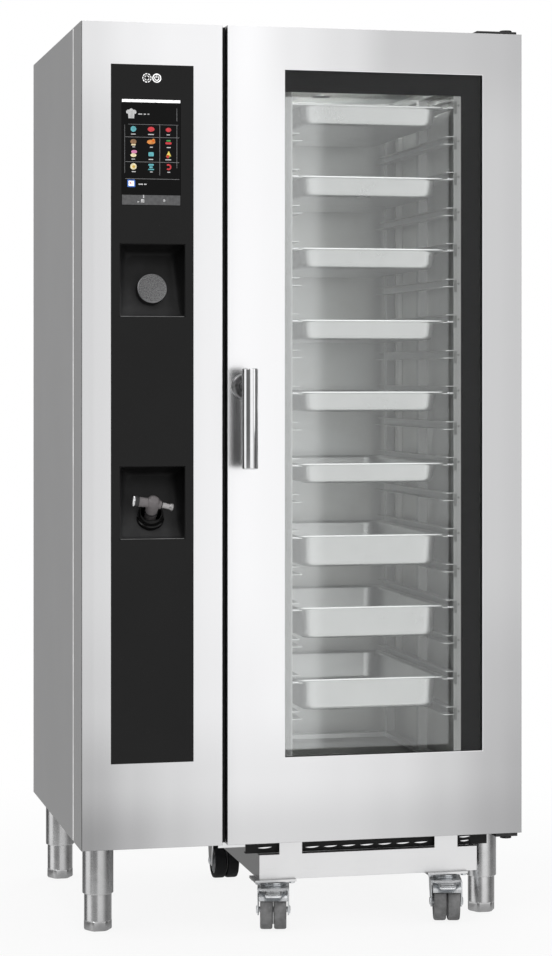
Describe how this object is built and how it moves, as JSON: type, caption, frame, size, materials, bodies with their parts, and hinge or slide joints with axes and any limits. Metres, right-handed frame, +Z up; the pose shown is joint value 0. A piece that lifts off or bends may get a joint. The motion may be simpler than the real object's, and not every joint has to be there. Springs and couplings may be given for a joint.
{
  "type": "combi steamer oven",
  "caption": "Tall stainless steel floor-standing combi steamer oven with glazed door, touch control column, hand shower and a roll-in pan trolley on casters.",
  "frame": {"origin": "centre of the whole part's footprint rectangle, on the floor, with the door closed", "axes": "+X to the right of someone facing the door, +Y from the door to the back panel, +Z up"},
  "size_m": [0.937, 0.8256, 1.912],
  "materials": {
    "steel": "fine vertical brushed stainless steel",
    "steel_dark": "mill-finish stainless sheet, slightly heat toned",
    "polished": "polished stainless steel",
    "panel_glass": "glossy black glass front, back printed",
    "display_glass": "glossy black touch display",
    "door_glass": "clear tempered glass",
    "black_plastic": "satin black moulded plastic",
    "black_paint": "black painted steel",
    "dial_metal": "turned anodised aluminium, darker side",
    "grey_plastic": "satin dark grey moulded plastic",
    "seal_rubber": "black silicone",
    "hose_rubber": "dark braided hose cover",
    "wheel_rubber": "grey non-marking rubber tread",
    "zinc": "bright zinc-plated steel",
    "enamel": "blue-grey enamel",
    "heater": "dark oxidised alloy sheath"
  },
  "bodies": {
    "cabinet": {"base_frame": "steel", "side_panel_left": "steel", "side_panel_right": "steel", "back_panel": "steel_dark", "top_panel": "steel", "control_fascia": "steel", "control_panel": "panel_glass", "touch_display": "display_glass", "dial_recess": "black_plastic", "shower_recess": "black_plastic", "shower_holster": "black_plastic", "cavity_liner": "steel", "fan_baffle": "steel", "fan_motor_upper": "enamel", "fan_motor_lower": "enamel", "heater_ring_upper": "heater", "heater_ring_lower": "heater", "steam_generator": "steel_dark", "electronics_box": "enamel", "drain_pipe": "polished", "vent_pipe": "polished", "hinge_bracket_top": "black_paint", "hinge_bracket_bottom": "steel_dark"},
    "door": {"door_outer_frame": "steel", "door_outer_glass": "door_glass", "door_inner_frame": "steel_dark", "door_inner_glass": "door_glass", "door_gasket": "seal_rubber", "handle_rose": "polished"},
    "handle": {"door_handle": "polished", "latch_cam": "steel_dark"},
    "dial": {"selector_dial": "dial_metal"},
    "shower": {"hand_shower": "grey_plastic", "shower_hose": "hose_rubber"},
    "shower_lever": {"shower_trigger": "polished"},
    "fan_upper": {"fan_wheel_upper": "steel_dark"},
    "fan_lower": {"fan_wheel_lower": "steel_dark"},
    "foot_front_left_body": {"foot_front_left": "polished"},
    "foot_front_right_body": {"foot_front_right": "polished"},
    "foot_rear_left_body": {"foot_rear_left": "polished"},
    "foot_rear_right_body": {"foot_rear_right": "polished"},
    "trolley": {"trolley_frame": "steel", "pan_rack": "steel", "pan_1": "steel", "pan_2": "steel", "pan_3": "steel", "pan_4": "steel", "pan_5": "steel", "pan_6": "steel", "pan_7": "steel", "pan_8": "steel", "pan_9": "steel"},
    "fork_left": {"caster_fork_front_left": "zinc"},
    "fork_right": {"caster_fork_front_right": "zinc"},
    "wheel_front_left": {"caster_wheel_front_left": "wheel_rubber"},
    "wheel_front_right": {"caster_wheel_front_right": "wheel_rubber"},
    "wheel_rear_left": {"caster_wheel_rear_left": "wheel_rubber"},
    "wheel_rear_right": {"caster_wheel_rear_right": "wheel_rubber"},
    "brake_left": {"caster_brake_left": "zinc"},
    "brake_right": {"caster_brake_right": "zinc"}
  },
  "joints": [
    {"name": "door_hinge", "type": "hinge", "parent": "cabinet", "child": "door", "pos_m": [0.4435, -0.30125, 1], "axis": [0, 0, 1], "range_deg": [0, 120]},
    {"name": "handle_turn", "type": "hinge", "parent": "door", "child": "handle", "pos_m": [-0.1325, -0.33225, 1.128], "axis": [0, -1, 0], "range_deg": [0, 90]},
    {"name": "dial_turn", "type": "hinge", "parent": "cabinet", "child": "dial", "pos_m": [-0.322, -0.30034, 1.3215], "axis": [0, -0.9708, 0.2399], "continuous": true},
    {"name": "shower_pull", "type": "slide", "parent": "cabinet", "child": "shower", "axis": [0, -0.7431, 0.6691], "range_m": [0, 0.12]},
    {"name": "trigger_squeeze", "type": "hinge", "parent": "shower", "child": "shower_lever", "pos_m": [-0.305, -0.33603, 0.88586], "axis": [0, 1, 0], "range_deg": [0, 12]},
    {"name": "fan_upper_spin", "type": "hinge", "parent": "cabinet", "child": "fan_upper", "pos_m": [-0.1225, 0.05275, 1.405], "axis": [1, 0, 0], "continuous": true},
    {"name": "fan_lower_spin", "type": "hinge", "parent": "cabinet", "child": "fan_lower", "pos_m": [-0.1225, 0.05275, 0.69], "axis": [1, 0, 0], "continuous": true},
    {"name": "foot_front_left_adjust", "type": "slide", "parent": "cabinet", "child": "foot_front_left_body", "axis": [0, 0, -1], "range_m": [-0.02, 0.03]},
    {"name": "foot_front_right_adjust", "type": "slide", "parent": "cabinet", "child": "foot_front_right_body", "axis": [0, 0, -1], "range_m": [-0.02, 0.03]},
    {"name": "foot_rear_left_adjust", "type": "slide", "parent": "cabinet", "child": "foot_rear_left_body", "axis": [0, 0, -1], "range_m": [-0.02, 0.03]},
    {"name": "foot_rear_right_adjust", "type": "slide", "parent": "cabinet", "child": "foot_rear_right_body", "axis": [0, 0, -1], "range_m": [-0.02, 0.03]},
    {"name": "trolley_roll", "type": "slide", "parent": "cabinet", "child": "trolley", "axis": [0, -1, 0], "range_m": [-0.004, 0.0015]},
    {"name": "caster_swivel_left", "type": "hinge", "parent": "trolley", "child": "fork_left", "pos_m": [-0.0505, -0.25025, 0.06], "axis": [0, 0, 1], "continuous": true},
    {"name": "caster_swivel_right", "type": "hinge", "parent": "trolley", "child": "fork_right", "pos_m": [0.3245, -0.25025, 0.06], "axis": [0, 0, 1], "range_deg": [-177, 73]},
    {"name": "wheel_front_left_spin", "type": "hinge", "parent": "fork_left", "child": "wheel_front_left", "pos_m": [-0.0604, -0.29312, 0.04], "axis": [0.9744, -0.225, 0], "continuous": true},
    {"name": "wheel_rear_left_spin", "type": "hinge", "parent": "trolley", "child": "wheel_rear_left", "pos_m": [-0.0505, 0.25275, 0.04], "axis": [1, 0, 0], "continuous": true},
    {"name": "brake_left_press", "type": "hinge", "parent": "fork_left", "child": "brake_left", "pos_m": [-0.06535, -0.31456, 0.0846], "axis": [0.9744, -0.225, 0], "range_deg": [0, 15]},
    {"name": "wheel_front_right_spin", "type": "hinge", "parent": "fork_right", "child": "wheel_front_right", "pos_m": [0.3146, -0.29312, 0.04], "axis": [0.9744, -0.225, 0], "continuous": true},
    {"name": "wheel_rear_right_spin", "type": "hinge", "parent": "trolley", "child": "wheel_rear_right", "pos_m": [0.3245, 0.25275, 0.04], "axis": [1, 0, 0], "continuous": true},
    {"name": "brake_right_press", "type": "hinge", "parent": "fork_right", "child": "brake_right", "pos_m": [0.30965, -0.31456, 0.0846], "axis": [0.9744, -0.225, 0], "range_deg": [0, 15]}
  ]
}
